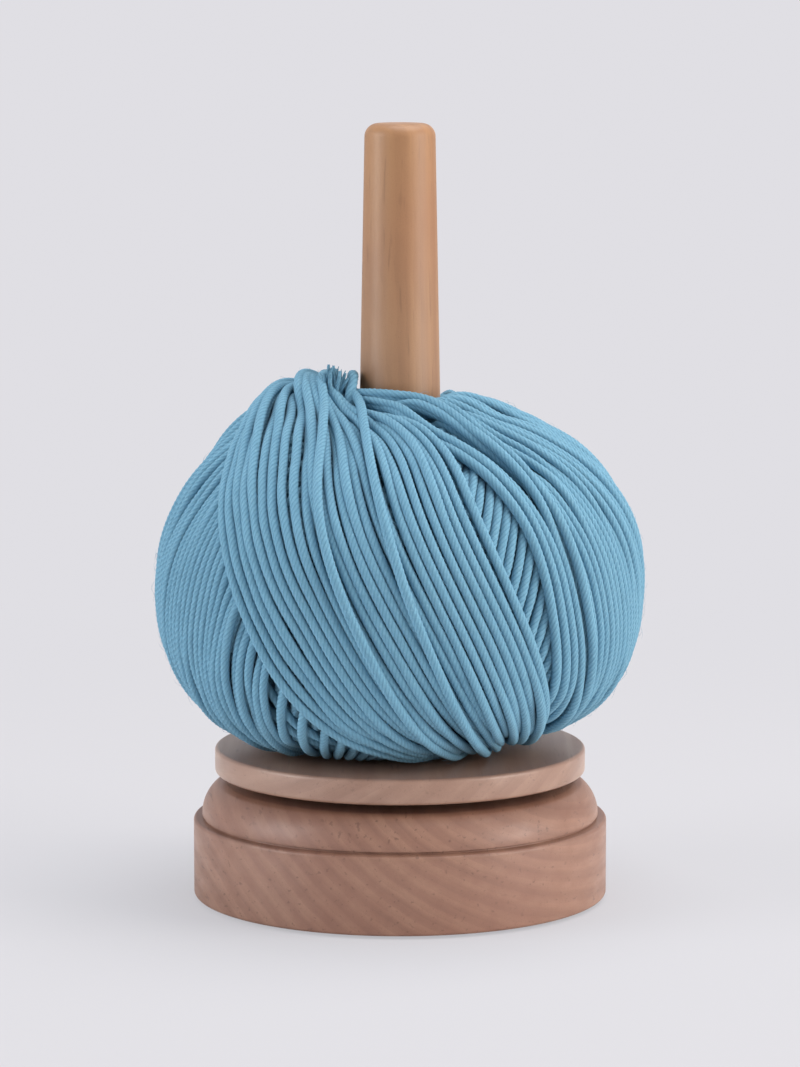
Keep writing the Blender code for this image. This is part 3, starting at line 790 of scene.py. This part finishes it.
def shows(index):
    """True for each point of a loop that isn't covered from side to side."""
    points, facing = strands[index], pile.facing[index]
    along = np.roll(points, -1, axis=0) - np.roll(points, 1, axis=0)
    along /= np.linalg.norm(along, axis=1)[:, None]
    sideways = np.cross(facing, along)
    others = np.concatenate(strands[index + 1:])
    covered = np.ones(samples, bool)
    for share in (-0.85, 0, 0.85):
        edge = points + sideways * strand * share
        height = others @ facing.T - (edge * facing).sum(1)
        aside = (others**2).sum(1)[:, None] + (edge**2).sum(1) - 2 * others @ edge.T - height**2
        over = (height > 0.4 * strand) & (height < cover_depth) & (aside < cover_width**2)
        covered &= over.any(axis=0)
    seen = ~covered
    for _ in range(samples // 64):
        seen = seen | np.roll(seen, 1) | np.roll(seen, -1)
    return seen


def stretches(points, seen):
    """The runs of a closed loop that show, as open routes. A loop that shows all round stays whole."""
    if seen.all():
        return [(points, True)]
    runs = []
    for start in np.nonzero(seen & ~np.roll(seen, 1))[0]:
        length = 1
        while seen[(start + length) % samples]:
            length += 1
        if length > samples // 40:
            runs.append((points[(start + np.arange(length)) % samples], False))
    return runs


routes = []
for index in range(len(below)):
    routes += stretches(strands[index], shows(index))
widths = [thickness[0]] * len(routes)
print(len(routes), "stretches of the layer below show")
routes += [(points, True) for points in strands[len(below):]]
widths += list(thickness[len(below):])

# %% [markdown]
# ### Twisted yarn
#
# The yarn is six plies twisted together, once round in about 7.5 mm. A curve carries a cross-section with
# six ridges, and the tilt of its points turns that outline as it goes, by one corner from ring to ring, so
# that the ridges wind round the strand like real plies. Each strand becomes a mesh whose map runs round and
# along it in true millimetres, for the fibres in its finish.

# %% The cross-section of the yarn
plies = 6
furrow_size, ridge_size = 0.95, 1.03
twist_length = 7.5 * mm
ring_step = twist_length / (plies * 2)

section_points = []
for ply in range(plies):
    for turn, size in ((-0.5, furrow_size), (0, ridge_size)):
        angle = math.tau * (ply + turn) / plies
        section_points.append((strand * size * math.cos(angle), strand * size * math.sin(angle), 0, 1))
section_curve = bpy.data.curves.new("yarn_section", "CURVE")
section_curve.dimensions = "2D"
spline = section_curve.splines.new("POLY")
spline.points.add(len(section_points) - 1)
spline.points.foreach_set("co", np.array(section_points).ravel())
spline.use_cyclic_u = True
section = bpy.data.objects.new("yarn_section", section_curve)
bpy.context.scene.collection.objects.link(section)
print("cross-section with", len(section_points), "points")


# %% Helpers: make one strand, join strands
slow_swell, strand_swell = 0.035, 0.02


def resampled(points, closed, step):
    """Evenly spaced points along a route, and its length."""
    path = np.concatenate([points, points[:1]]) if closed else points
    along = np.concatenate([[0], np.cumsum(np.linalg.norm(np.diff(path, axis=0), axis=1))])
    count = max(int(along[-1] / step), 4)
    marks = np.linspace(0, along[-1], count, endpoint=not closed)
    return np.stack([np.interp(marks, along, path[:, i]) for i in range(3)], axis=1), along[-1]


def spin_strand(name, points, closed, seed, width=1.0, taper=False):
    """A mesh object of one strand along a route given from the ball's middle. Its thickness swells and
    narrows slowly, and a taper thins it from foot to tip."""
    fine, length = resampled(points, closed, ring_step * max(width, 0.6))
    turns = max(round(length / twist_length), 1) if closed else length / twist_length
    dice = np.random.default_rng(seed)
    curve = bpy.data.curves.new(name, "CURVE")
    curve.dimensions = "3D"
    curve.bevel_mode = "OBJECT"
    curve.bevel_object = section
    curve.use_fill_caps = not closed
    spline = curve.splines.new("POLY")
    spline.points.add(len(fine) - 1)
    spline.use_cyclic_u = closed
    places = np.column_stack([fine + [0, 0, ball_middle], np.ones(len(fine))])
    spline.points.foreach_set("co", places.ravel())
    share = np.arange(len(fine)) / len(fine)
    spline.points.foreach_set("tilt", share * turns * math.tau + dice.uniform(0, math.tau))
    slow = np.sin(share * math.tau * dice.integers(3, 7) + dice.uniform(0, math.tau))
    thick = width * (1 + slow_swell * slow + dice.normal(0, strand_swell))
    spline.points.foreach_set("radius", thick * (1.1 - 0.65 * share**2) if taper else thick)
    piece = bpy.data.objects.new(name, curve)
    bpy.context.scene.collection.objects.link(piece)
    select_only(piece)
    bpy.ops.object.convert(target="MESH")
    piece = bpy.context.object
    layer = piece.data.uv_layers[0].uv
    places = np.empty(len(layer) * 2, np.float32)
    layer.foreach_get("vector", places)
    places = places.reshape(-1, 2)[:, ::-1] * [math.tau * strand / mm, length / mm]
    places[:, 1] += dice.uniform(0, 2000)
    layer.foreach_set("vector", places.astype(np.float32).ravel())
    return piece


def joined(name, pieces):
    bpy.ops.object.select_all(action="DESELECT")
    for piece in pieces:
        piece.select_set(True)
    bpy.context.view_layer.objects.active = pieces[0]
    bpy.ops.object.join()
    whole = bpy.context.object
    whole.name = name
    bpy.ops.object.shade_smooth()
    return whole


# %% [markdown]
# ### Yarn finish
#
# Soft, matte blue cotton. The furrows between the plies are darker than their backs, which is painted
# shade, the fibres are drawn out along the strand, the colour of a strand varies a little along it, and a
# thin fuzz gives a pale sheen at grazing angles.

# %% Yarn finish
yarn_light, yarn_dark = (0.222, 0.430, 0.565), (0.113, 0.277, 0.407)
yarn_tint, yarn_tone = (0.155, 0.335, 0.470), (0.130, 0.300, 0.430)
speck_colour, painted_furrow_shade = (0.32, 0.52, 0.63), (0.060, 0.160, 0.250)
yarn, shader = new_finish("blue_yarn", roughness=0.88)
around = add(yarn, "TexCoord").outputs["UV"]
girth = math.tau * strand / mm
furrow = add(yarn, "SeparateXYZ", {"Vector": around}).outputs["X"]
furrow = add(yarn, "Math", {0: furrow, 1: math.tau * plies / girth}, operation="MULTIPLY").outputs[0]
furrow = add(yarn, "Math", {0: furrow}, operation="COSINE").outputs[0]
furrow = add(yarn, "MapRange", {"Value": furrow, "From Min": -1.0, "From Max": 1.0}).outputs[0]
flow = add(yarn, "Mapping", {"Vector": around, "Scale": (4.2, 0.8, 1)}).outputs["Vector"]
fibres = noise(yarn, flow, scale=1.5, detail=5.0, rough=0.7)
tint = noise(yarn, object_place(yarn), scale=95.0, detail=3.0)
slow = add(yarn, "Mapping", {"Vector": around, "Scale": (0, 0.015, 1)}).outputs["Vector"]
tone = noise(yarn, slow, detail=2.0)
specks = noise(yarn, object_place(yarn), scale=2300.0, detail=2.0)
colour = ramp(yarn, fibres, (0.28, yarn_dark), (0.72, yarn_light))
colour = mix(yarn, ramp(yarn, tint, (0.3, grey(0.0)), (0.7, grey(0.3))), colour, yarn_tint)
colour = mix(yarn, ramp(yarn, tone, (0.35, grey(0.0)), (0.65, grey(0.35))), colour, yarn_tone)
colour = mix(yarn, ramp(yarn, specks, (0.56, grey(0.0)), (0.74, grey(0.35))), colour, speck_colour)
# Painted shade: the furrows between the plies are darkened towards a deep blue.
colour = mix(yarn, ramp(yarn, furrow, (0.45, grey(0.0)), (1.0, grey(0.42))), colour, painted_furrow_shade)
link(yarn, colour, shader, "Base Color")
shader.inputs["Sheen Weight"].default_value = 0.1
shader.inputs["Sheen Roughness"].default_value = 0.45
shader.inputs["Sheen Tint"].default_value = (0.62, 0.82, 0.95, 1)
shader.inputs["Specular IOR Level"].default_value = 0.2
ridge = add(yarn, "Math", {0: furrow, 1: -0.4, 2: 0.4}, operation="MULTIPLY_ADD").outputs[0]
relief = add(yarn, "Math", {0: fibres, 1: 0.6, 2: ridge}, operation="MULTIPLY_ADD").outputs[0]
bump(yarn, shader, relief, 0.00022, 0.8)
print("yarn finish", yarn.name)

# %% Make the strands, in groups of about the same length
lengths = [np.linalg.norm(np.diff(points, axis=0), axis=1).sum() for points, closed in routes]
ends = np.cumsum(lengths)
group_count = 9
number_of = np.minimum(ends / ends[-1] * group_count, group_count - 1).astype(int)
print(round(ends[-1], 1), "m of yarn in", group_count, "groups")
for number in range(group_count):
    members = np.nonzero(number_of == number)[0]
    made = [spin_strand("strand", *routes[i], seed=100 + int(i), width=widths[i]) for i in members]
    turns = joined(f"yarn_turns_{number + 1}", made)
    settle(turns, yarn, "yarn_ball", "yarn", "yarn_winding")

# %% [markdown]
# ### The body of the ball
#
# Between the strands one looks into the ball, onto more yarn. A closed form just under the lower layer,
# with the peg hole through it, stops the view there, and a coil of the same yarn lines the hole. The form's
# yarn is a much darker blue than the strands: painted shade inside the ball.

# %% Body of the ball
deep_yarn_painted_shade, shader = new_finish("deep_yarn_painted_shade", roughness=0.95)
lines = add(deep_yarn_painted_shade, "TexWave", {"Vector": object_place(deep_yarn_painted_shade, turn=(0, 0.5, 0)), "Scale": 130.0,
                                   "Distortion": 2.0, "Detail": 2.0, "Detail Scale": 1.5})
# Painted shade: the whole ramp is a much darker blue than the strands' yarn.
colour = ramp(deep_yarn_painted_shade, lines.outputs["Fac"], (0.2, (0.03, 0.075, 0.12)), (0.8, (0.10, 0.235, 0.34)))
link(deep_yarn_painted_shade, colour, shader, "Base Color")
bump(deep_yarn_painted_shade, shader, lines.outputs["Fac"], 0.0006, 0.8)

bpy.ops.object.select_all(action="DESELECT")
bpy.ops.mesh.primitive_uv_sphere_add(segments=96, ring_count=64, radius=1)
body = bpy.context.object
body.name = "yarn_body"
points = np.empty(len(body.data.vertices) * 3, np.float32)
body.data.vertices.foreach_get("co", points)
points = form(points.reshape(-1, 3).astype(float))[0]
points[:, 2] = np.maximum(points[:, 2], lowest) + ball_middle
body.data.vertices.foreach_set("co", points.astype(np.float32).ravel())
body.data.update()
body_hole = hole_radius_foot + 1.6 * strand
cut_holes(body, [(0, 0)], body_hole, 20 * mm, 120 * mm)
select_only(body)
bpy.ops.object.shade_smooth_by_angle(angle=math.radians(40))
settle(body, deep_yarn_painted_shade, "yarn_ball", "yarn", "yarn_core")

# %% Lining of the peg hole
lining_turns = 27
lining_top = 34.5 * mm
turn = np.linspace(0, math.tau * lining_turns, lining_turns * 48)
height = np.linspace(lowest, lining_top, len(turn))
ring = hole_radius_foot + strand + 0.25 * mm * np.sin(turn * 0.37)
coil = np.stack([ring * np.cos(turn), ring * np.sin(turn), height], axis=1)
lining = joined("hole_lining", [spin_strand("lining", coil, False, seed=5)])
settle(lining, yarn, "yarn_ball", "yarn")

# %% [markdown]
# ### The loose ends
#
# Beside the peg, at its left, the start of the yarn comes up out of the ball. It is cut off short and its
# plies have come apart into a little brush of thick and thin ends. A second strand leans up along the peg
# beside it and dives back in.

# %% The brush of the cut end
brush_foot = np.array([-14.0 * mm, -6.6 * mm, 42.0 * mm])
brush_root = 4 * mm
thick_ends, thin_ends = 16, 32
upward = np.array([0, 0, 1])
plied = []
for number in range(thick_ends + thin_ends):
    dice = np.random.default_rng(40 + number)
    thick = number < thick_ends
    count, place = (thick_ends, number) if thick else (thin_ends, number - thick_ends)
    around, spread = place * 2.4, math.sqrt((place + 0.5) / count)
    out = np.array([math.cos(around), math.sin(around) * 0.8, 0]) * spread
    tall = dice.uniform(4.0, 6.0) * mm * (1.1 - 0.35 * spread)
    width = dice.uniform(0.36, 0.5) if thick else dice.uniform(0.10, 0.17)
    share = np.linspace(0, 1, 12)[:, None]
    phase = dice.uniform(0, math.tau, 2)
    curl = np.concatenate([np.sin(share * 5 + phase[0]), np.cos(share * 4 + phase[1]), 0 * share], axis=1)
    path = brush_foot + out * (1.2 * mm + 1.9 * mm * share**1.4) + curl * 0.45 * mm * share
    path = path + upward * (tall * share - brush_root * (1 - share))
    plied.append(spin_strand("ply", path, False, seed=60 + number, width=width, taper=True))
brush = joined("cut_end", plied)
settle(brush, yarn, "yarn_ball", "yarn", "yarn_tail")

# %% The strand that leans against the peg
knots = [(-12.0, -11.6, 33.0), (-10.9, -9.6, 39.2), (-9.9, -7.4, 43.8), (-9.8, -4.2, 46.0),
         (-10.1, 0.2, 44.8), (-10.7, 6.0, 38.5), (-12.5, 10.5, 32.0)]
knots = np.array(knots) * mm
marks = np.linspace(0, len(knots) - 1, 90)
bent = np.stack([np.interp(marks, range(len(knots)), knots[:, i]) for i in range(3)], axis=1)
rounding_passes = 120
for _ in range(rounding_passes):
    bent[1:-1] = (bent[:-2] + 2 * bent[1:-1] + bent[2:]) / 4
leaning = joined("leaning_strand", [spin_strand("leaning", bent, False, seed=77)])
settle(leaning, yarn, "yarn_ball", "yarn")

# %% [markdown]
# ### Fuzz
#
# Spun cotton is never bare: short fibre ends stand off every strand. They blur the outline and give the
# surface its softness. Each is a fine bent tube, a few millimetres long, that starts on a strand and lies
# nearly along it.

# %% Fuzz
fibre_count = 2600
fibre_radius = 0.028 * mm
dice = np.random.default_rng(21)
shown = [points for points, closed in routes if closed]
hairs, faces = [], []
steps, sides = 5, 3
for number in range(fibre_count):
    points = shown[dice.integers(len(shown))]
    i = int(dice.integers(samples))
    root = points[i]
    along = points[(i + 1) % samples] - points[i - 1]
    along /= np.linalg.norm(along)
    outward = root / np.linalg.norm(root)
    aside = np.cross(along, outward)
    angle = dice.uniform(-1.0, 1.0)
    lift = outward * math.cos(angle) + aside * math.sin(angle)
    length = dice.uniform(1.2, 3.4) * mm
    share = np.linspace(0, 1, steps)[:, None]
    flow = along * dice.choice([-1, 1]) * length * share + aside * dice.normal(0, 0.5) * mm * share**2
    rise = lift * (strand * 0.9 + dice.uniform(0.15, 0.75) * mm * np.sin(share * dice.uniform(1.2, 2.9)))
    spine = root + flow + rise + [0, 0, ball_middle]
    thick = fibre_radius * (1.15 - 0.75 * share)
    first = len(hairs)
    for j in range(steps):
        for k in range(sides):
            turn = math.tau * k / sides
            hairs.append(spine[j] + (lift * math.cos(turn) + aside * math.sin(turn)) * thick[j])
    for j in range(steps - 1):
        for k in range(sides):
            a, b = first + j * sides + k, first + j * sides + (k + 1) % sides
            faces.append((a, b, b + sides, a + sides))
    faces.append((first + 2, first + 1, first))
    last = first + (steps - 1) * sides
    faces.append((last, last + 1, last + 2))
hairs = np.array(hairs)
hairs[:, 2] = np.maximum(hairs[:, 2], plate_high.z + 0.3 * mm)
mesh = bpy.data.meshes.new("yarn_fuzz")
mesh.from_pydata(hairs.tolist(), [], faces)
fuzz = bpy.data.objects.new("yarn_fuzz", mesh)
bpy.context.scene.collection.objects.link(fuzz)
settle(fuzz, yarn, "yarn_ball", "yarn")

# %% Measure and finish
bpy.data.objects.remove(section)
low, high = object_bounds()
print("looks", [round(side / mm, 1) for side in high - low], "mm")
print("box", [round(edge / mm, 1) for edge in (*low, *high)])
